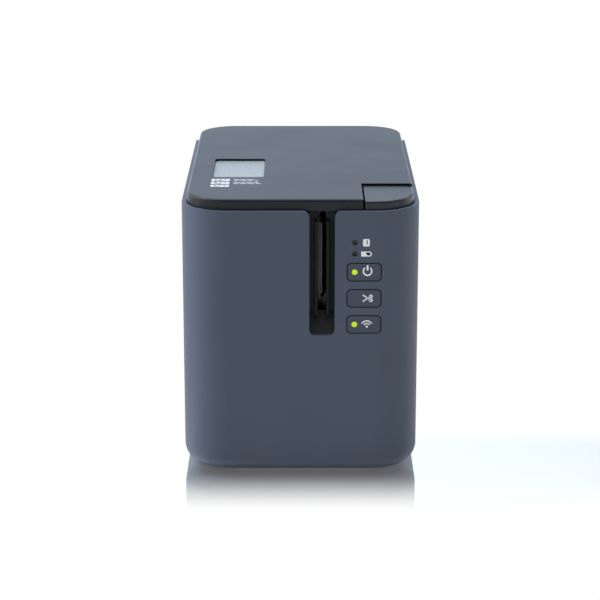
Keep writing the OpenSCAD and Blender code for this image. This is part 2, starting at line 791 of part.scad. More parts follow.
// flat cable from the head, under the bay floor and down to the main board
module head_cable() {
    z = bay_z - 1.3;
    color([0.90, 0.90, 0.88]) {
        box([cable_x, plat_y + 6.5, cas_z0 + 2.5], [cable_x + cable_w, cable_y, cas_z0 + 2.5 + cable_t]);
        box([cable_x, cable_y - cable_t, z], [cable_x + cable_w, cable_y, cas_z0 + 2.5 + cable_t]);
        box([cable_x, cable_y - cable_t, z], [cable_x + cable_w, cable_end_y, z + cable_t]);
        box([cable_x, cable_end_y - cable_t, sock_z + 4], [cable_x + cable_w, cable_end_y, z + cable_t]);
    }
}

module feed_motor() {
    color([0.70, 0.71, 0.73]) {
        shaft(pinion_x, pinion_y, plate_z - 24, plate_z, 14);
        shaft(pinion_x, pinion_y, plate_z - 1, plate_z + 1, 5.6);
        box([pinion_x - 6, pinion_y + 10, plate_z - 22], [pinion_x + 6, pinion_y + 17, plate_z - 12]);
        shaft(pinion_x, pinion_y, plate_z, gear_z - 0.3, 1.2);
    }
}

module feed_pinion() {
    phase = mesh_phase(pinion_dir, 0, idler_n, pinion_n);
    color([0.80, 0.68, 0.35]) translate([pinion_x, pinion_y, gear_z])
        linear_extrude(gear_t) gear_outline(pinion_n, phase);
}

module idler_gear() {
    color([0.92, 0.92, 0.90]) difference() {
        union() {
            translate([idler_x, idler_y, gear_z]) linear_extrude(gear_t) gear_outline(idler_n, 0);
            shaft(idler_x, idler_y, plate_z + plate_t + 0.3, bay_z - 0.3, 4);
        }
        shaft(idler_x, idler_y, plate_z, bay_z + 1, shaft_r + run_gap);
        for (a = [0:60:300]) translate([idler_x, idler_y]) rotate([0, 0, a])
            shaft(gear_m*idler_n/2 - 5.6, 0, gear_z - 1, gear_z + gear_t + 1, 2.4);
    }
}

module holder_pin() {
    color([0.75, 0.76, 0.78]) shaft(pivot_x, pivot_y, bay_z, cas_z1 + 0.5, pivot_r);
}

// plan of a holder arm
module arm_plan() {
    x0 = tape_x + 2;
    spine_x = pivot_x - 3.5;
    translate([spine_x, press_y - 5]) square([2.5, pivot_y - press_y + 5]);
    translate([x0, press_y - 5]) square([spine_x - x0 + 1, plat_y - press_y + 12]);
    translate([pivot_x - 3, pivot_y - 4]) square([4, 8]);
    translate([pivot_x, pivot_y]) circle(5);
}

module roller_holder() {
    spine_x = pivot_x - 3.5;
    color([0.88, 0.88, 0.86]) difference() {
        union() {
            for (z = [arm_z0, arm_z1]) translate([0, 0, z]) linear_extrude(arm_t) arm_plan();
            box([spine_x, press_y - 5, arm_z0 + arm_t - eps], [spine_x + 2.5, pivot_y, arm_z1 + eps]);
            shaft(pivot_x, pivot_y, arm_z0, arm_z1 + arm_t, 5);
        }
        shaft(pivot_x, pivot_y, arm_z0 - 1, arm_z1 + arm_t + 1, pivot_r + run_gap);
        shaft(platen_x, plat_y, arm_z0 - 1, arm_z1 + arm_t + 1, shaft_r + run_gap);
        shaft(press_x, press_y, arm_z0 - 1, arm_z1 + arm_t + 1, 1.5 + run_gap);
    }
}

roller_z0 = arm_z0 + arm_t + 0.4;
roller_z1 = arm_z1 - 0.4;

module platen_roller() {
    color([0.10, 0.10, 0.11]) difference() {
        shaft(platen_x, plat_y, roller_z0, roller_z1, platen_r);
        shaft(platen_x, plat_y, roller_z0 - 1, roller_z1 + 1, shaft_r);
    }
}

module platen_shaft() {
    phase = mesh_phase(idler_dir - 180, 0, idler_n, platen_n);
    color([0.75, 0.76, 0.78]) {
        shaft(platen_x, plat_y, gear_z, arm_z1 + arm_t, shaft_r);
        translate([platen_x, plat_y, gear_z]) linear_extrude(gear_t) gear_outline(platen_n, phase);
    }
}

module pressure_roller() {
    color([0.12, 0.12, 0.13]) for (k = [0:2]) {
        h = (roller_z1 - roller_z0 - 4)/3;
        z = roller_z0 + k*(h + 2);
        difference() {
            shaft(press_x, press_y, z, z + h, press_r);
            shaft(press_x, press_y, z - 1, z + h + 1, 1.5);
        }
    }
}

module pressure_shaft() {
    color([0.75, 0.76, 0.78]) shaft(press_x, press_y, arm_z0 + 0.2, arm_z1 + arm_t, 1.5);
}

// ---------------------------------------------------------------- cutter

module cutter_frame() {
    y0 = cut_y + blade_t;
    color([0.60, 0.62, 0.64]) {
        difference() {
            box([cutter_x0, y0, cutter_z0], [cutter_x1, y0 + frame_t, cas_z1 - 2]);
            box([tape_x - 1.5, y0 - 1, tape_z - 2], [tape_x + 1.5, y0 + frame_t + 1, cas_z1]);
            box([tape_x + 1.4, y0 - 1, bay_z + 6], [cutter_x1 - 10, y0 + frame_t + 1, cas_z1]);
            pin_y(cut_pin_x, cut_pin_z, y0 - 1, y0 + frame_t + 1, 3);
        }
        pin_y(blade_pivot_x, blade_pivot_z, cut_y - 2*blade_t - 1.6, y0 + 0.5, 2);
    }
}

module fixed_blade() {
    x1 = tape_x - 0.5;
    color([0.80, 0.81, 0.83]) box([x1 - 7, cut_y, tape_z - 3], [x1, cut_y + blade_t, cas_z1 - 3]);
}

// moving blade with its toothed sector, drawn open
module moving_blade() {
    y0 = cut_y - blade_t - 0.2;
    len = cas_z1 - 4 - blade_pivot_z;
    color([0.80, 0.81, 0.83]) from_front(y0, y0 + blade_t) difference() {
        union() {
            translate([blade_pivot_x, blade_pivot_z]) {
                circle(5.5);
                rotate(-blade_open) translate([-5.2, 0]) square([8.5, len]);
                intersection() {
                    gear_outline(sector_n, sector_dir + 180/sector_n);
                    rotate(sector_dir - 26)
                        polygon([for (a = [-1, 0, 22, 44]) a < 0 ? [0, 0] : 40*[cos(a), sin(a)]]);
                }
            }
        }
        translate([blade_pivot_x, blade_pivot_z]) circle(2 + run_gap);
    }
}

module cutter_motor() {
    y0 = cut_y + blade_t + frame_t;
    color([0.70, 0.71, 0.73]) {
        pin_y(cut_pin_x, cut_pin_z, y0, y0 + 24, cut_motor_r);
        pin_y(cut_pin_x, cut_pin_z, cut_y + 0.2, y0 + 1, 1.1);
    }
}

module cutter_pinion() {
    y0 = cut_y - blade_t - 0.9;
    color([0.80, 0.68, 0.35]) from_front(y0, y0 + blade_t + 0.7 + 0.1)
        translate([cut_pin_x, cut_pin_z])
            gear_outline(sector_pn, sector_dir + 180);
}

// ---------------------------------------------------------------- electronics

module main_board() {
    color([0.05, 0.30, 0.16]) difference() {
        box([-brd_x, brd_y0, brd_z], [brd_x, brd_y1, brd_z + board_t]);
        for (p = board_screws) shaft(p[0], p[1], brd_z - 1, brd_z + 3, 1.3);
    }
}

module board_chips() {
    z = sock_z;
    color([0.08, 0.08, 0.09]) {
        box([-8, brd_y0 + 46, z], [10, brd_y0 + 64, z + 2]);
        box([20, brd_y0 + 44, z], [31, brd_y0 + 52, z + 1.6]);
        box([-34, brd_y0 + 58, z], [-22, brd_y0 + 66, z + 1.8]);
        for (p = [[-30, 82], [-18, 84], [36, 76]])
            shaft(p[0], brd_y0 + p[1], z, z + 12, 4);
        box([cable_x - 2, cable_end_y - 2.5, z], [cable_x + cable_w + 2, cable_end_y + 2, z + 4]);
    }
}

module usb_socket() {
    color([0.70, 0.71, 0.73]) {
        difference() {
            box([usb_x - usb_w/2, face_y - 16, sock_z], [usb_x + usb_w/2, face_y, sock_z + usb_h]);
            box([usb_x - 4.3, face_y - 10, sock_z + 1.6], [usb_x + 4.3, face_y + 1, sock_z + 9.4]);
        }
        box([usb_x - 2.8, face_y - 10.5, sock_z + 3.8], [usb_x + 2.8, face_y - 1, sock_z + 7]);
    }
}

module serial_socket() {
    color([0.12, 0.12, 0.13]) difference() {
        box([serial_x - serial_w/2, face_y - 15, sock_z],
            [serial_x + serial_w/2, face_y, sock_z + serial_h]);
        box([serial_x - 5, face_y - 12, sock_z + 2.6], [serial_x + 5, face_y + 1, sock_z + 9.4]);
        box([serial_x - 3.2, face_y - 12, sock_z + 9], [serial_x + 3.2, face_y + 1, sock_z + 11]);
    }
}

module power_jack() {
    color([0.12, 0.12, 0.13]) {
        difference() {
            box([jack_x - jack_w/2, face_y - 14, sock_z], [jack_x + jack_w/2, face_y, sock_z + jack_h]);
            pin_y(jack_x, sock_z + jack_h/2, face_y - 11, face_y + 1, 3.1);
        }
        pin_y(jack_x, sock_z + jack_h/2, face_y - 11.5, face_y - 1.5, 1);
    }
}

module radio_module() {
    z = sock_z;
    color([0.55, 0.57, 0.55]) {
        box([brd_x - 26, brd_y0 + 12, z], [brd_x - 6, brd_y0 + 34, z + 1]);
        box([brd_x - 24, brd_y0 + 14, z + 0.9], [brd_x - 8, brd_y0 + 26, z + 3]);
    }
}

module panel_board() {
    color([0.05, 0.30, 0.16]) from_front(board_y, board_y + board_t)
        translate([panel_x0, panel_z0]) square([panel_x1 - panel_x0, panel_z1 - panel_z0]);
}

switch_h = 2.4;

module key_switches() {
    color([0.15, 0.15, 0.16]) for (i = [0:2]) {
        z = floor_z + key_z + i*key_pitch;
        box([key_x + 1 - 3, board_y - switch_h, z - 3], [key_x + 1 + 3, board_y, z + 3]);
    }
}

module status_lamps() {
    color([0.80, 0.82, 0.85]) for (z = status_z) {
        pin_y(lamp_x, z, front_y + 1.2, board_y - 1.5, status_r - 0.1);
        box([lamp_x - 1.6, board_y - 1.6, z - 1.6], [lamp_x + 1.6, board_y, z + 1.6]);
    }
}

// key whose face follows the wall, with a flange behind it and a stem over its switch
module key_body(i, with_lamp) {
    z = floor_z + key_z + i*key_pitch;
    color([0.19, 0.21, 0.26]) difference() {
        union() {
            intersection() {
                from_front(front_y - 1, wall_y + 1.9) translate([key_x, z])
                    round_rect(key_w, key_h, key_r);
                tub(body_w, body_d, front_r, rear_r, bottom_r, floor_z, rim_z);
            }
            from_front(wall_y + 0.7, wall_y + 1.9) translate([key_x, z])
                round_rect(key_w - 5, key_h + 2.4, key_r);
            pin_y(key_x + 1, z, wall_y + 1, board_y - switch_h - key_travel - 0.1, 2);
        }
        if (with_lamp) pin_y(lamp_x, z, front_y - 1, wall_y + 3, lamp_r);
    }
}

module power_key() {
    key_body(2, true);
}

module feed_key() {
    key_body(1, false);
}

module radio_key() {
    key_body(0, true);
}

module key_lamp(i) {
    color([0.70, 0.88, 0.05])
        pin_y(lamp_x, floor_z + key_z + i*key_pitch, front_y, wall_y + 1.5, lamp_r);
}

module power_lamp() {
    key_lamp(2);
}

module radio_lamp() {
    key_lamp(0);
}

// ---------------------------------------------------------------- cover

win_x = cas_x0 + 12.7;
win_y = front_y + 75.4;

module lid_block(inset, z0, z1, re) {
    cap(lid_w - 2*inset, lid_d - 2*inset, lid_front_r - inset, lid_rear_r - inset, re, z0, z1);
}

module top_cover() {
    cut_at = hinge_y - 5;
    color([0.40, 0.44, 0.50]) difference() {
        lid_block(0, rear_skirt_z, body_h, lid_edge_r);
        difference() {
            lid_block(lid_wall, rear_skirt_z - 1, lid_under, 0.5);
            // walls along the release button's notch
            box([notch_x - 1.8, front_y, skirt_z], [notch_x, notch_rear + 1.8, body_h]);
            box([notch_x - 1.8, notch_rear, skirt_z], [half_w, notch_rear + 1.8, body_h]);
        }
        box([-half_w, front_y, rear_skirt_z - 2], [half_w, cut_at, skirt_z]);
        box([notch_x, front_y - 1, skirt_z - 5], [half_w + 1, notch_rear, body_h + 1]);
        translate([win_x, win_y, lid_under - 1]) linear_extrude(lid_t + 2)
            round_rect(window_w, window_d, 2);
    }
}

module window_pane() {
    color([0.76, 0.80, 0.84]) {
        translate([win_x, win_y, lid_under - 1]) linear_extrude(lid_t + 1 - pane_drop)
            round_rect(window_w - 0.3, window_d - 0.3, 1.85);
        translate([win_x, win_y, lid_under - 1.4]) linear_extrude(1.4)
            round_rect(window_w + 4, window_d + 4, 2);
    }
}

module cover_liner() {
    z0 = lid_under - 2;
    color([0.18, 0.20, 0.23]) difference() {
        union() {
            box([-lid_w/2 + 6, front_y + 30, z0], [lid_w/2 - 6, notch_rear + 1.8, lid_under]);
            box([-lid_w/2 + 6, notch_rear - 1, z0], [lid_w/2 - 6, hinge_y - 8, lid_under]);
            box([-knuckle_x - 4, hinge_y - 9, z0], [knuckle_x + 4, hinge_y + 5, lid_under]);
            // ribs over the cassette
            for (x = [cas_x0 + 34, cas_x0 + 44])
                box([x, cas_y0 + 6, cas_z1 + 0.8], [x + 1.6, cas_y1 - 6, z0 + eps]);
            // hinge knuckles
            for (s = [-1, 1]) from_side(s*knuckle_x - knuckle_t/2, s*knuckle_x + knuckle_t/2) {
                translate([hinge_y, hinge_z]) circle(boss_r);
                translate([hinge_y - boss_r, hinge_z]) square([2*boss_r, z0 + eps - hinge_z]);
            }
        }
        box([notch_x - 3.2, front_y, z0 - 1], [half_w, notch_rear + 1.81, lid_under + 1]);
        translate([win_x, win_y, z0 - 1]) linear_extrude(4)
            round_rect(window_w + 4.6, window_d + 4.6, 2.3);
        for (s = [-1, 1])
            pin_x(hinge_y, hinge_z, s*knuckle_x - knuckle_t, s*knuckle_x + knuckle_t,
                pin_r + run_gap);
    }
}

// hook that drops through the deck behind the release button
module cover_hook() {
    z0 = lid_under - 2;
    tip = latch_z + 8;
    color([0.55, 0.56, 0.58]) from_side(stem_x - latch_w/2 + 1, stem_x + latch_w/2 - 1)
        polygon([[hook_y, z0], [hook_y, tip + 3], [hook_y - 1.6, tip + 3], [hook_y - 0.4, tip],
            [hook_y + 2.2, tip], [hook_y + 2.2, z0]]);
}

// ---------------------------------------------------------------- release button

module button_block(inset, z0, z1, re) {
    intersection() {
        cap(lid_w - 2*inset, lid_d - 2*inset, lid_front_r - inset, lid_rear_r - inset, re, z0, z1);
        box([btn_x + inset, front_y, z0], [half_w, btn_rear - inset, z1]);
    }
}

module release_button() {
    color([0.46, 0.50, 0.57]) {
        difference() {
            button_block(0, btn_skirt, btn_top, 1);
            button_block(1.8, btn_skirt - 1, btn_top - 2, 0.5);
        }
        shaft(stem_x, stem_y, stem_z0, btn_top - 1.9, stem_r);
    }
}

spring_r = 4.8;
spring_wire = 0.5;
spring_turns = 5;

// coils joined by a thin web, so that the spring is one closed solid
module release_spring() {
    h = btn_top - 2 - deck_top;
    step = (h - 2*spring_wire)/spring_turns;
    color([0.75, 0.76, 0.78]) translate([stem_x, stem_y, deck_top]) rotate_extrude() {
        translate([spring_r - spring_wire/2, spring_wire]) square([spring_wire, h - 2*spring_wire]);
        for (k = [0:spring_turns])
            translate([spring_r, spring_wire + k*step]) circle(spring_wire);
    }
}

module latch_lever() {
    color([0.30, 0.32, 0.35]) from_side(stem_x - latch_w/2, stem_x + latch_w/2) difference() {
        union() {
            translate([latch_y, latch_z]) circle(4);
            translate([stem_y - 3, latch_z - 1]) square([latch_y - stem_y + 3, 3]);
            polygon([[latch_y - 3, latch_z], [latch_y + 3, latch_z],
                [hook_y - 5.6, latch_z + 11], [hook_y - 2.1, latch_z + 12.6],
                [hook_y - 2.1, latch_z + 14], [hook_y - 8.6, latch_z + 14]]);
        }
        translate([latch_y, latch_z]) circle(1.5 + run_gap);
    }
}

module latch_mount() {
    color([0.75, 0.76, 0.78]) {
        pin_x(latch_y, latch_z, stem_x - latch_w/2 - 3, stem_x + latch_w/2 + 3, 1.5);
        for (s = [-1, 1])
            box([stem_x + s*(latch_w/2 + 1.6) - 1, latch_y - 3, latch_z - 3],
                [stem_x + s*(latch_w/2 + 1.6) + 1, latch_y + 3, deck_z]);
    }
}

// ---------------------------------------------------------------- which node to draw

main_housing();
base_plate();
rear_panel();
feet();
base_screws();
slot_liner();
inner_deck();
hinge_brackets();
hinge_pins();
support_frame();
gear_plate();
idler_post();
cassette_lower();
cassette_upper();
cassette_label();
tape_roll();
tape_strip();
ribbon_supply();
ribbon_takeup();
ribbon_spindle();
print_head();
head_heat_sink();
head_cable();
feed_motor();
feed_pinion();
idler_gear();
holder_pin();
roller_holder();
platen_roller();
platen_shaft();
pressure_roller();
pressure_shaft();
cutter_frame();
fixed_blade();
moving_blade();
cutter_motor();
cutter_pinion();
main_board();
board_chips();
usb_socket();
serial_socket();
power_jack();
radio_module();
panel_board();
key_switches();
status_lamps();
power_key();
feed_key();
radio_key();
power_lamp();
radio_lamp();
top_cover();
cover_liner();
window_pane();
cover_hook();
release_button();
release_spring();
latch_lever();
latch_mount();
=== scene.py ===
"""Looks of a desktop label printer: graphite housing, lighter top cover with a window,
corner release button, vertical tape exit and three front keys.

Every piece is in metres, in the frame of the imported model: +X right, -Y front, +Z up.
"""

import json
import math

import bmesh
import bpy
from mathutils import Matrix, Vector


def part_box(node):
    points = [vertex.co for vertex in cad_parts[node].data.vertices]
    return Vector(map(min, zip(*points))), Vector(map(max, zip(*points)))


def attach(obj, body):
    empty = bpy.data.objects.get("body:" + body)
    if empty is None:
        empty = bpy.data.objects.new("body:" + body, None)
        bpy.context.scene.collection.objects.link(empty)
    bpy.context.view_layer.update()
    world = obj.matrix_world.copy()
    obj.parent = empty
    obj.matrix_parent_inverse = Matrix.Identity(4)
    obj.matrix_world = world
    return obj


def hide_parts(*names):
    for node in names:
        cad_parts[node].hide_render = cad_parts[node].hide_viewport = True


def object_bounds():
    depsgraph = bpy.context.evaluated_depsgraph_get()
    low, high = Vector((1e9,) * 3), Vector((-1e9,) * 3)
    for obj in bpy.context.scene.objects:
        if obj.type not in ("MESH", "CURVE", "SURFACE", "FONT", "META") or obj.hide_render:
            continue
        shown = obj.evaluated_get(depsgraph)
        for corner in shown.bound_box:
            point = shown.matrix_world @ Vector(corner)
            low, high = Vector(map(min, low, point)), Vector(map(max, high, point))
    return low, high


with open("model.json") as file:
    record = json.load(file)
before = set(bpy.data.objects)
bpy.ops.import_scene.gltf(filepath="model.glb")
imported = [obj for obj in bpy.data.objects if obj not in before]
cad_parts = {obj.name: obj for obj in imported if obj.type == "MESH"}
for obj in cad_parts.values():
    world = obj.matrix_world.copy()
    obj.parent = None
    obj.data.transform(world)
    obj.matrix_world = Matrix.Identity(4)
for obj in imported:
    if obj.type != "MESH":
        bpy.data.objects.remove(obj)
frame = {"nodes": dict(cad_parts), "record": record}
cad_low, cad_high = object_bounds()
NODES = frame["nodes"]
MM = 0.001

FRONT_Y = cad_low.y
REAR_Y = cad_high.y
TOP_Z = cad_high.z
INK = 0.03 * MM


# ------------------------------------------------------------------ small helpers


def srgb(r, g, b):
    """Linear colour from 0-255 display values."""

    def line(v):
        v /= 255
        return v / 12.92 if v <= 0.04045 else ((v + 0.055) / 1.055) ** 2.4

    return (line(r), line(g), line(b), 1.0)


def centre(node):
    low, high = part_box(node)
    return (Vector(low) + Vector(high)) / 2


# ------------------------------------------------------------------ materials


class Nodes:
    """Short way to build a node tree around one Principled shader."""

    def __init__(self, name):
        self.mat = bpy.data.materials.new(name)
        self.mat.use_nodes = True
        self.tree = self.mat.node_tree
        self.bsdf = self.tree.nodes["Principled BSDF"]
        self.out = self.tree.nodes["Material Output"]
        self.coords = self.add("ShaderNodeTexCoord").outputs["Object"]

    def add(self, kind, **props):
        node = self.tree.nodes.new(kind)
        for key, value in props.items():
            setattr(node, key, value)
        return node

    def link(self, a, b):
        self.tree.links.new(a, b)

    def noise(self, scale, detail=2.0, rough=0.5, stretch=None):
        node = self.add("ShaderNodeTexNoise")
        node.inputs["Scale"].default_value = scale
        node.inputs["Detail"].default_value = detail
        node.inputs["Roughness"].default_value = rough
        self.link(self.mapped(stretch), node.inputs["Vector"])
        return node.outputs["Fac"]

    def cells(self, scale, stretch=None):
        node = self.add("ShaderNodeTexVoronoi", feature="SMOOTH_F1")
        node.inputs["Scale"].default_value = scale
        self.link(self.mapped(stretch), node.inputs["Vector"])
        return node.outputs["Distance"]

    def mapped(self, stretch):
        if stretch is None:
            return self.coords
        node = self.add("ShaderNodeMapping")
        node.inputs["Scale"].default_value = stretch
        self.link(self.coords, node.inputs["Vector"])
        return node.outputs["Vector"]

    def span(self, value, low, high, from_low=0.3, from_high=0.7, shape="LINEAR"):
        node = self.add("ShaderNodeMapRange", interpolation_type=shape)
        node.inputs["From Min"].default_value = from_low
        node.inputs["From Max"].default_value = from_high
        node.inputs["To Min"].default_value = low
        node.inputs["To Max"].default_value = high
        self.link(value, node.inputs["Value"])
        return node.outputs["Result"]

    def blend(self, fac, a, b):
        node = self.add("ShaderNodeMix", data_type="RGBA")
        self.link(fac, node.inputs["Factor"])
        node.inputs[6].default_value = a
        node.inputs[7].default_value = b
        return node.outputs[2]

    def bump(self, height, distance, strength=1.0, below=None):
        node = self.add("ShaderNodeBump")
        node.inputs["Distance"].default_value = distance
        node.inputs["Strength"].default_value = strength
        self.link(height, node.inputs["Height"])
        if below is not None:
            self.link(below, node.inputs["Normal"])
        return node.outputs["Normal"]

    def set(self, **values):
        for key, value in values.items():
            self.bsdf.inputs[key.replace("_", " ")].default_value = value


def shade(colour, factor):
    return tuple(min(1.0, c * factor) for c in colour[:3]) + (1.0,)


def moulded(name, colour, rough=0.45, grain=0.35, depth=0.012, vary=0.05, spec=0.5):
    """Moulded plastic with a spark-eroded grain. grain is in mm, depth in mm."""
    n = Nodes(name)
    broad = n.noise(22, detail=3)
    fine = n.noise(900 / grain, detail=2, rough=0.6)
    pits = n.cells(700 / grain)
    tone = n.blend(n.span(broad, 0, 1), shade(colour, 1 - vary), shade(colour, 1 + vary))
    n.link(tone, n.bsdf.inputs["Base Color"])
    n.link(n.span(broad, rough - 0.03, rough + 0.04), n.bsdf.inputs["Roughness"])
    first = n.bump(fine, depth * MM, 0.7)
    n.link(n.bump(pits, depth * MM, 0.5, below=first), n.bsdf.inputs["Normal"])
    n.set(Specular_IOR_Level=spec)
    return n.mat


def polished(name, colour, rough=0.16, vary=0.04, spec=0.5, coat=0.0):
    """Smooth plastic with a slight ripple and handling haze."""
    n = Nodes(name)
    broad = n.noise(35, detail=3)
    smear = n.noise(260, detail=4, rough=0.65, stretch=(1, 0.35, 1))
    tone = n.blend(n.span(broad, 0, 1), shade(colour, 1 - vary), shade(colour, 1 + vary))
    n.link(tone, n.bsdf.inputs["Base Color"])
    n.link(n.span(smear, rough - 0.04, rough + 0.07), n.bsdf.inputs["Roughness"])
    n.link(n.bump(broad, 0.02 * MM, 0.25), n.bsdf.inputs["Normal"])
    n.set(Specular_IOR_Level=spec, Coat_Weight=coat, Coat_Roughness=0.08)
    return n.mat


def brushed(name, colour, rough=0.32, along=(1, 1, 0.04)):
    """Sheet or turned metal with fine drawing lines and a little dulling."""
    n = Nodes(name)
    lines = n.noise(5200, detail=3, rough=0.7, stretch=along)
    dull = n.noise(60, detail=4)
    tone = n.blend(n.span(dull, 0, 1), shade(colour, 0.86), shade(colour, 1.06))
    n.link(tone, n.bsdf.inputs["Base Color"])
    n.link(n.span(lines, rough - 0.08, rough + 0.12), n.bsdf.inputs["Roughness"])
    n.link(n.bump(lines, 0.004 * MM, 0.6), n.bsdf.inputs["Normal"])
    n.set(Metallic=1.0)
    return n.mat


def rubbery(name, colour, rough=0.72):
    n = Nodes(name)
    skin = n.noise(2600, detail=3, rough=0.6)
    dust = n.noise(90, detail=5, rough=0.7)
    tone = n.blend(n.span(dust, 0, 1, 0.45, 0.75), shade(colour, 0.9), shade(colour, 1.9))
    n.link(tone, n.bsdf.inputs["Base Color"])
    n.link(n.span(dust, rough - 0.06, rough + 0.12), n.bsdf.inputs["Roughness"])
    n.link(n.bump(skin, 0.02 * MM, 0.5), n.bsdf.inputs["Normal"])
    n.set(Specular_IOR_Level=0.35)
    return n.mat


def paper(name, colour):
    n = Nodes(name)
    fibre = n.noise(1500, detail=5, rough=0.75)
    tone = n.blend(n.span(fibre, 0, 1), shade(colour, 0.96), shade(colour, 1.02))
    n.link(tone, n.bsdf.inputs["Base Color"])
    n.link(n.bump(fibre, 0.006 * MM, 0.5), n.bsdf.inputs["Normal"])
    n.link(n.span(fibre, 0.42, 0.55), n.bsdf.inputs["Roughness"])
    return n.mat


def ink(name, colour, rough=0.5, spec=0.5):
    """Printed mark: slightly uneven, as pad printing is."""
    n = Nodes(name)
    n.bsdf.inputs["Specular IOR Level"].default_value = spec
    mottle = n.noise(3000, detail=3)
    tone = n.blend(n.span(mottle, 0, 1), shade(colour, 0.93), shade(colour, 1.0))
    n.link(tone, n.bsdf.inputs["Base Color"])
    n.link(n.span(mottle, rough - 0.05, rough + 0.05), n.bsdf.inputs["Roughness"])
    return n.mat


def lit(name, colour, strength):
    """Lit lens: glowing, with a diffusing texture."""
    n = Nodes(name)
    grain = n.noise(1800, detail=2)
    tone = n.blend(n.span(grain, 0, 1), shade(colour, 0.85), shade(colour, 1.0))
    n.link(tone, n.bsdf.inputs["Base Color"])
    n.link(tone, n.bsdf.inputs["Emission Color"])
    n.link(n.span(grain, 0.18, 0.3), n.bsdf.inputs["Roughness"])
    n.set(Emission_Strength=strength)
    return n.mat


def frosted(name, colour, alpha):
    """Window pane: clear plastic with a faint frosting."""
    n = Nodes(name)
    haze = n.noise(900, detail=3)
    n.link(n.span(haze, 0.10, 0.18), n.bsdf.inputs["Roughness"])
    tone = n.blend(n.span(haze, 0, 1), shade(colour, 0.97), shade(colour, 1.0))
    n.link(tone, n.bsdf.inputs["Base Color"])
    n.link(n.bump(haze, 0.003 * MM, 0.4), n.bsdf.inputs["Normal"])
    n.set(Alpha=alpha, Specular_IOR_Level=0.6)
    return n.mat


def circuit(name):
    n = Nodes(name)
    weave = n.noise(700, detail=4)
    tracks = n.add("ShaderNodeTexBrick")
    tracks.inputs["Scale"].default_value = 260
    tracks.inputs["Mortar Size"].default_value = 0.03
    tracks.inputs["Color1"].default_value = srgb(8, 74, 44)
    tracks.inputs["Color2"].default_value = srgb(10, 84, 50)
    tracks.inputs["Mortar"].default_value = srgb(34, 120, 72)
    n.link(n.coords, tracks.inputs["Vector"])
    n.link(tracks.outputs["Color"], n.bsdf.inputs["Base Color"])
    n.link(n.span(weave, 0.25, 0.38), n.bsdf.inputs["Roughness"])
    n.link(n.bump(tracks.outputs["Fac"], 0.03 * MM, 0.4), n.bsdf.inputs["Normal"])
    return n.mat


HOUSING = moulded("housing_plastic", srgb(74, 84, 100), rough=0.5, grain=0.4, depth=0.014, spec=0.32)
COVER = moulded("cover_plastic", srgb(22, 27, 35), rough=0.31, grain=0.3, depth=0.0015, vary=0.04, spec=0.28)
BUTTON = moulded("button_plastic", srgb(12, 15, 21), rough=0.26, grain=0.3, depth=0.0015, vary=0.03, spec=0.48)
BLACK = moulded("black_plastic", srgb(28, 31, 36), rough=0.5, grain=0.3, depth=0.008, spec=0.3)
INNER = moulded("inner_plastic", srgb(44, 48, 56), rough=0.5, grain=0.35, depth=0.012, spec=0.4)
KEY = moulded("key_plastic", srgb(64, 74, 89), rough=0.44, grain=0.3, depth=0.006, spec=0.35)
WHITE = moulded("white_plastic", srgb(206, 206, 200), rough=0.36, grain=0.3, depth=0.004, vary=0.02)
CASSETTE = moulded("cassette_plastic", srgb(196, 202, 208), rough=0.4, grain=0.3, depth=0.006, vary=0.02)
PAPER = paper("label_paper", srgb(226, 231, 235))
FILM = polished("tape_film", srgb(232, 232, 226), rough=0.22)
RIBBON = polished("ribbon_film", srgb(22, 22, 26), rough=0.18)
PANE = frosted("pane", srgb(176, 184, 190), 0.66)
RUBBER = rubbery("rubber", srgb(26, 26, 28))
STEEL = brushed("steel", (0.52, 0.53, 0.55, 1))
BLADE = brushed("blade_steel", (0.10, 0.105, 0.115, 1), rough=0.42, along=(1, 1, 0.05))
ALUMINIUM = brushed("aluminium", (0.66, 0.67, 0.69, 1), rough=0.38)
BRASS = brushed("brass", (0.72, 0.53, 0.22, 1), rough=0.28, along=(1, 1, 1))
CERAMIC = polished("ceramic", srgb(226, 220, 206), rough=0.3)
CIRCUIT = circuit("circuit")
LAMP_ON = lit("lamp_green", srgb(196, 222, 0), 0.35)
LAMP_OFF = polished("lamp_clear", srgb(40, 44, 52), rough=0.4)
CABLE = polished("cable_film", srgb(224, 222, 210), rough=0.3)
INK_PALE = ink("ink_pale", srgb(243, 247, 250))
INK_COVER = ink("ink_cover", srgb(196, 203, 209), rough=0.6, spec=0.1)
# dark ink for printed symbols; on the release button the same dark is painted shade standing for a groove
DARK_INK_AND_GROOVE_SHADE = ink("dark_ink_and_groove_shade", srgb(36, 40, 47), rough=0.7, spec=0.0)

SLOTS = {
    "housing_plastic": HOUSING, "cover_plastic": COVER, "button_plastic": BUTTON,
    "black_plastic": BLACK, "inner_plastic": INNER, "key_plastic": KEY,
    "white_plastic": WHITE, "cassette_plastic": CASSETTE, "label_paper": PAPER,
    "tape_film": FILM, "ribbon_film": RIBBON, "pane": PANE, "rubber": RUBBER,
    "steel": STEEL, "aluminium": ALUMINIUM, "brass": BRASS, "circuit": CIRCUIT,
    "ceramic": CERAMIC, "lamp_green": LAMP_ON, "lamp_clear": LAMP_OFF, "cable_film": CABLE,
}
SLOT_OF = {s["node"]: s["material_slot"] for s in frame["record"]["subparts"]}
BODY_OF = {n: b for b, ns in frame["record"]["behaviour"]["bodies"].items() for n in ns}


# ------------------------------------------------------------------ pieces from the frame


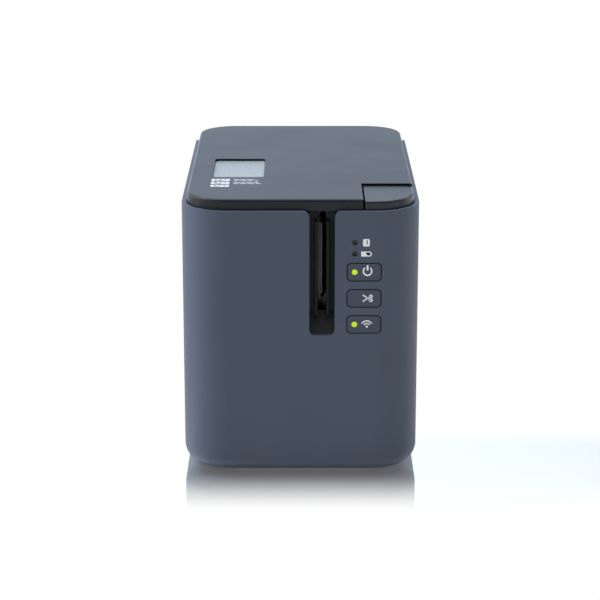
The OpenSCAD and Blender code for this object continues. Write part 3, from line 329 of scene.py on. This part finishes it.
def refine(node, edge=0.3, segments=3, angle=32, material=None):
    """Stands for a CAD node: the same shape with merged faces and rounded, light-catching edges.

    Its front face and top face step in by INK, which leaves room for printed marks.
    """
    source = NODES[node]
    mesh = source.data.copy()
    mesh.name = node + "_look"
    mesh.materials.clear()
    bm = bmesh.new()
    bm.from_mesh(mesh)
    bmesh.ops.remove_doubles(bm, verts=bm.verts, dist=0.002 * MM)
    for vert in bm.verts:
        if abs(vert.co.y - FRONT_Y) < 0.001 * MM:
            vert.co.y += INK
        if abs(vert.co.z - TOP_Z) < 0.001 * MM:
            vert.co.z -= INK
    bmesh.ops.dissolve_limit(
        bm, angle_limit=math.radians(0.4), verts=bm.verts, edges=bm.edges,
        use_dissolve_boundaries=False)
    for face in bm.faces:
        face.smooth = True
    bm.to_mesh(mesh)
    bm.free()
    piece = bpy.data.objects.new(node + "_look", mesh)
    bpy.context.scene.collection.objects.link(piece)
    mesh.materials.append(material or SLOTS[SLOT_OF[node]])
    bevel = piece.modifiers.new("edges", "BEVEL")
    bevel.width = edge * MM
    bevel.segments = segments
    bevel.limit_method = "ANGLE"
    bevel.angle_limit = math.radians(angle)
    bevel.use_clamp_overlap = True
    bevel.miter_outer = "MITER_ARC"
    normals = piece.modifiers.new("normals", "WEIGHTED_NORMAL")
    normals.keep_sharp = False
    normals.weight = 80
    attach(piece, BODY_OF[node])
    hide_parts(node)
    return piece


for node, obj in NODES.items():
    obj.data.materials.clear()
    obj.data.materials.append(SLOTS[SLOT_OF[node]])

REFINED = {
    "main_housing": 0.45, "top_cover": 0.3, "release_button": 0.35, "slot_liner": 0.2,
    "base_plate": 0.3, "rear_panel": 0.3, "inner_deck": 0.3, "cover_liner": 0.3,
    "power_key": 0.25, "feed_key": 0.25, "radio_key": 0.25,
}
for node, edge in REFINED.items():
    refine(node, edge)


for node in ("fixed_blade", "moving_blade", "cutter_frame"):
    NODES[node].data.materials[0] = BLADE


# ------------------------------------------------------------------ printed marks


class Marks:
    """Flat printed shapes drawn in one plane: the front wall, a key's face or the cover's top."""

    def __init__(self, name, body, slot, material, on_top=None, lift=0.0):
        self.bm = bmesh.new()
        self.name, self.body, self.slot, self.material = name, body, slot, material
        self.height, self.lift = on_top, lift

    def place(self, u, v):
        if self.height is None:
            return Vector((u * MM, FRONT_Y + (0.3 - self.lift) * INK, v * MM))
        return Vector((u * MM, v * MM, self.height * MM))

    def poly(self, points):
        face = self.bm.faces.new([self.bm.verts.new(self.place(u, v)) for u, v in points])
        return face

    def bar(self, u0, v0, u1, v1, width):
        across = Vector((v0 - v1, u1 - u0)).normalized() * width / 2
        ends = [Vector((u0, v0)), Vector((u1, v1))]
        self.poly([ends[0] - across, ends[1] - across, ends[1] + across, ends[0] + across])

    def block(self, u, v, w, h, r=0.0):
        corners = []
        for k, (su, sv) in enumerate(((1, 1), (-1, 1), (-1, -1), (1, -1))):
            for step in range(5):
                a = math.radians(90 * k + 22.5 * step)
                corners.append((u + su * (w / 2 - r) + r * math.cos(a),
                                v + sv * (h / 2 - r) + r * math.sin(a)))
        self.poly(corners if r else [corners[0], corners[5], corners[10], corners[15]])

    def ring(self, u, v, inner, outer, start=0, end=360, steps=40):
        angles = [math.radians(start + (end - start) * k / steps) for k in range(steps + 1)]
        for a, b in zip(angles, angles[1:]):
            self.poly([(u + r * math.cos(t), v + r * math.sin(t))
                       for r, t in ((inner, a), (outer, a), (outer, b), (inner, b))])

    def disc(self, u, v, r, steps=24):
        self.poly([(u + r * math.cos(math.tau * k / steps), v + r * math.sin(math.tau * k / steps))
                   for k in range(steps)])

    def done(self):
        mesh = bpy.data.meshes.new(self.name)
        bmesh.ops.remove_doubles(self.bm, verts=self.bm.verts, dist=0.001 * MM)
        bmesh.ops.recalc_face_normals(self.bm, faces=self.bm.faces)
        self.bm.to_mesh(mesh)
        self.bm.free()
        mesh.materials.append(self.material)
        piece = bpy.data.objects.new(self.name, mesh)
        bpy.context.scene.collection.objects.link(piece)
        thick = piece.modifiers.new("ink", "SOLIDIFY")
        thick.thickness = 0.02 * MM
        thick.offset = 0
        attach(piece, self.body)
        return piece


def key_marks():
    """Power, cutter and radio symbols on the three keys."""
    power = centre("power_key") / MM
    u, v = power.x + 1.6, power.z + 0.5
    mark = Marks("power_symbol", "power", "key_plastic", INK_PALE)
    mark.ring(u, v, 1.72, 2.42, 126, 414)
    mark.bar(u, v + 0.4, u, v + 3.0, 0.85)
    mark.done()

    feed = centre("feed_key") / MM
    u, v = feed.x + 1.65, feed.z + 0.1
    mark = Marks("cutter_symbol", "feed", "key_plastic", INK_PALE)
    for side in (-1, 1):
        mark.bar(u - 2.3, v + side * 1.7, u + 1.2, v - side * 0.75, 0.6)
        mark.ring(u + 1.7, v - side * 1.0, 0.36, 0.92)
    mark.done()

    radio = centre("radio_key") / MM
    u, v = radio.x + 1.45, radio.z - 1.1
    mark = Marks("radio_symbol", "radio", "key_plastic", INK_PALE)
    mark.disc(u, v, 0.55)
    mark.ring(u, v, 1.35, 1.9, 32, 148)
    mark.ring(u, v, 2.6, 3.2, 32, 148)
    mark.done()


def lamp_marks():
    """Cassette and battery symbols beside the two status lamps."""
    low, high = (Vector(c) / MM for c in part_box("status_lamps"))
    upper, lower = high.z - 1.7, low.z + 1.5
    mark = Marks("cassette_symbol", "housing", "housing_plastic", INK_PALE)
    u = high.x + 4.1
    mark.block(u - 0.1, upper, 3.3, 3.7, 0.6)
    mark.done()
    mark = Marks("cassette_symbol_dot", "housing", "housing_plastic", DARK_INK_AND_GROOVE_SHADE, lift=0.4)
    mark.bar(u + 0.3, upper + 0.1, u + 0.3, upper + 1.1, 0.55)
    mark.disc(u + 0.3, upper - 0.5, 0.35)
    mark.done()
    mark = Marks("battery_symbol", "housing", "housing_plastic", INK_PALE)
    left = u - 2.6
    mark.poly([(left, lower - 1.25), (left + 4.5, lower - 1.25), (left + 5.4, lower),
               (left + 4.5, lower + 1.25), (left, lower + 1.25)])
    mark.done()
    mark = Marks("battery_symbol_charge", "housing", "housing_plastic", DARK_INK_AND_GROOVE_SHADE, lift=0.4)
    mark.poly([(left + 3.0, lower - 0.75), (left + 4.2, lower - 0.75), (left + 4.7, lower),
               (left + 4.2, lower + 0.75), (left + 2.2, lower + 0.75)])
    mark.done()


def cover_marks():
    """Plain blocks and bars printed on the cover in front of the window."""
    low = Vector(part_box("window_pane")[0]) / MM
    plane = (TOP_Z - 0.6 * INK) / MM
    left, front = low.x + 2.0, low.y - 5.2
    pitch = 6.6
    mark = Marks("tape_size_blocks", "cover", "cover_plastic", INK_COVER, plane)
    for row in range(3):
        mark.block(left + 4.6, front - row * pitch, 9.3, 4.6, 0.5)
    mark.done()
    shade_mark = Marks("tape_size_bars", "cover", "cover_plastic", DARK_INK_AND_GROOVE_SHADE, plane + 0.012)
    for row in range(3):
        v = front - row * pitch
        for k in range(3):
            u = left + 1.5 + 2.5 * k
            shade_mark.bar(u, v + 0.7, u + 1.0 + 0.2 * row, v + 0.7, 1.0)
        shade_mark.bar(left + 1.6, v - 1.2, left + 6.2 - row, v - 1.2, 0.7)
    shade_mark.done()
    mark = Marks("tape_size_lines", "cover", "cover_plastic", INK_COVER, plane)
    for row, lengths in enumerate(((3.2, 2.0, 3.6), (2.2, 4.0, 2.0, 2.4),
                                   (3.6, 1.6, 2.8, 2.6), (2.6, 3.2, 3.4, 2.6))):
        u = left + 11.2
        v = front + 1.2 - row * 2.9 - 0.8 * (row > 1)
        for length in lengths:
            mark.bar(u, v, u + length, v, 0.95)
            u += length + 0.7
    mark.done()


key_marks()
lamp_marks()
cover_marks()


# ------------------------------------------------------------------ release button's groove, drawn as painted shade


def button_groove_shade():
    """Short groove that shows where to press, drawn as a flat dark mark: painted shade, no recess."""
    low, high = (Vector(c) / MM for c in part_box("release_button"))
    # painted shade: the dark block stands for the shadowed hollow of the groove
    mark = Marks("button_groove_shade", "release", "button_plastic", DARK_INK_AND_GROOVE_SHADE, high.z - 0.02)
    mark.block(low.x + 9.0, low.y + 6.2, 5.6, 0.9, 0.4)
    mark.done()


button_groove_shade()


# ------------------------------------------------------------------ release spring


def coil_spring():
    """Wire spring under the release button, in place of the simple solid."""
    low, high = (Vector(c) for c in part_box("release_spring"))
    middle = (low + high) / 2
    wire = 0.5 * MM
    radius = (high.x - low.x) / 2 - wire
    turns, rise = 6, high.z - low.z - 2 * wire
    curve = bpy.data.curves.new("spring_wire", "CURVE")
    curve.dimensions = "3D"
    curve.bevel_depth = wire
    curve.bevel_resolution = 3
    curve.use_fill_caps = True
    spline = curve.splines.new("POLY")
    count = turns * 24
    spline.points.add(count)
    for k, point in enumerate(spline.points):
        t = k / count
        flat = min(1.0, max(0.0, (t * turns - 0.8) / (turns - 1.6)))
        a = math.tau * turns * t
        point.co = (middle.x + radius * math.cos(a), middle.y + radius * math.sin(a),
                    low.z + wire + rise * flat, 1)
    piece = bpy.data.objects.new("spring_wire", curve)
    bpy.context.scene.collection.objects.link(piece)
    curve.materials.append(STEEL)
    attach(piece, "housing")
    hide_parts("release_spring")
    return piece


coil_spring()


# ------------------------------------------------------------------ studio


def area(name, place, aim, size, power, colour=(1, 1, 1)):
    data = bpy.data.lights.new(name, "AREA")
    data.shape = "RECTANGLE"
    data.size, data.size_y = size
    data.energy = power
    data.color = colour
    lamp = bpy.data.objects.new(name, data)
    bpy.context.scene.collection.objects.link(lamp)
    lamp.location = place
    lamp.rotation_euler = (Vector(aim) - Vector(place)).to_track_quat("-Z", "Y").to_euler()
    return lamp


def sky():
    """Soft surroundings: bright behind and above, dim on the camera's side, cool near the horizon."""
    world = bpy.data.worlds.new("studio")
    bpy.context.scene.world = world
    world.use_nodes = True
    tree = world.node_tree
    back = tree.nodes["Background"]
    coords = tree.nodes.new("ShaderNodeTexCoord")
    split = tree.nodes.new("ShaderNodeSeparateXYZ")
    tree.links.new(coords.outputs["Generated"], split.inputs["Vector"])

    def ramp(source, start, end, low, high):
        node = tree.nodes.new("ShaderNodeMapRange")
        node.interpolation_type = "SMOOTHSTEP"
        node.inputs["From Min"].default_value = start
        node.inputs["From Max"].default_value = end
        node.inputs["To Min"].default_value = low
        node.inputs["To Max"].default_value = high
        tree.links.new(source, node.inputs["Value"])
        return node.outputs["Result"]

    def times(first, second):
        node = tree.nodes.new("ShaderNodeMath")
        node.operation = "MULTIPLY"
        tree.links.new(first, node.inputs[0])
        tree.links.new(second, node.inputs[1])
        return node.outputs["Value"]

    depth = ramp(split.outputs["Y"], -0.5, 0.35, 0.14, 1.0)
    across = ramp(split.outputs["X"], -0.8, 0.8, 1.15, 0.5)
    height = ramp(split.outputs["Z"], 0.24, 0.36, 0.93, 1.4)
    horizon = ramp(split.outputs["Z"], 0.06, 0.17, 2.6, 1.0)
    tree.links.new(times(times(depth, across), times(height, horizon)), back.inputs["Strength"])
    tone = tree.nodes.new("ShaderNodeMix")
    tone.data_type = "RGBA"
    tone.inputs[6].default_value = (0.62, 0.76, 0.95, 1)
    tone.inputs[7].default_value = (0.86, 0.94, 1.06, 1)
    tree.links.new(ramp(split.outputs["Z"], 0.26, 0.33, 0, 1), tone.inputs["Factor"])
    tree.links.new(tone.outputs[2], back.inputs["Color"])


def white_floor():
    """Bright white floor, polished just in front of the object, where it shows a fading reflection."""
    mesh = bpy.data.meshes.new("floor")
    bm = bmesh.new()
    bmesh.ops.create_grid(bm, x_segments=2, y_segments=2, size=6)
    bm.to_mesh(mesh)
    bm.free()
    floor = bpy.data.objects.new("floor", mesh)
    bpy.context.scene.collection.objects.link(floor)
    n = Nodes("studio_floor")
    split = n.add("ShaderNodeSeparateXYZ")
    n.link(n.coords, split.inputs["Vector"])
    depth = split.outputs["Y"]
    ahead = n.span(depth, 0, 0.9, FRONT_Y - 0.050, FRONT_Y + 0.006, "SMOOTHSTEP")
    under = n.span(depth, 1, 0, FRONT_Y + 0.04, FRONT_Y + 0.07, "SMOOTHSTEP")
    polished_part = n.add("ShaderNodeMath", operation="MULTIPLY")
    n.link(ahead, polished_part.inputs[0])
    n.link(under, polished_part.inputs[1])
    gloss = n.add("ShaderNodeBsdfGlossy")
    gloss.inputs["Color"].default_value = (1, 1, 1, 1)
    gloss.inputs["Roughness"].default_value = 0.03
    white = n.add("ShaderNodeEmission")
    white.inputs["Strength"].default_value = 1.0
    sheen = n.add("ShaderNodeMixShader")
    n.link(polished_part.outputs["Value"], sheen.inputs["Fac"])
    n.link(white.outputs["Emission"], sheen.inputs[1])
    n.link(gloss.outputs["BSDF"], sheen.inputs[2])
    n.link(sheen.outputs["Shader"], n.out.inputs["Surface"])
    mesh.materials.append(n.mat)


def lights():
    area("top", (0, 0.25, 1.4), (0, 0, 0), (1.8, 1.4), 14)
    area("left", (-1.2, 0.1, 0.75), (0, 0, 0.1), (0.8, 1.4), 7.5)
    area("right", (1.2, 0.5, 0.75), (0, 0, 0.1), (0.5, 1.0), 2.2)
    area("front", (-1.5, -1.2, 0.6), (0, 0, 0.06), (0.9, 0.9), 4.4)
    area("edge", (0, -0.42, 1.4), (0, 0, 0.1), (1.6, 0.2), 4)
    area("glint", (-0.72, 0.03, 1.05), (0, -0.05, 0.14), (0.1, 0.1), 2.2)


def camera():
    data = bpy.data.cameras.new("camera")
    data.sensor_width = 36
    data.lens = 124.7
    data.shift_x = -0.0007
    data.shift_y = 0.0086
    data.clip_start, data.clip_end = 0.05, 30
    cam = bpy.data.objects.new("camera", data)
    bpy.context.scene.collection.objects.link(cam)
    cam.location = (0, -1.0794, 0.3716)
    cam.rotation_euler = (math.radians(74.0), 0, 0)
    bpy.context.scene.camera = cam


sky()
white_floor()
lights()
camera()
bpy.context.scene.view_settings.view_transform = "Standard"
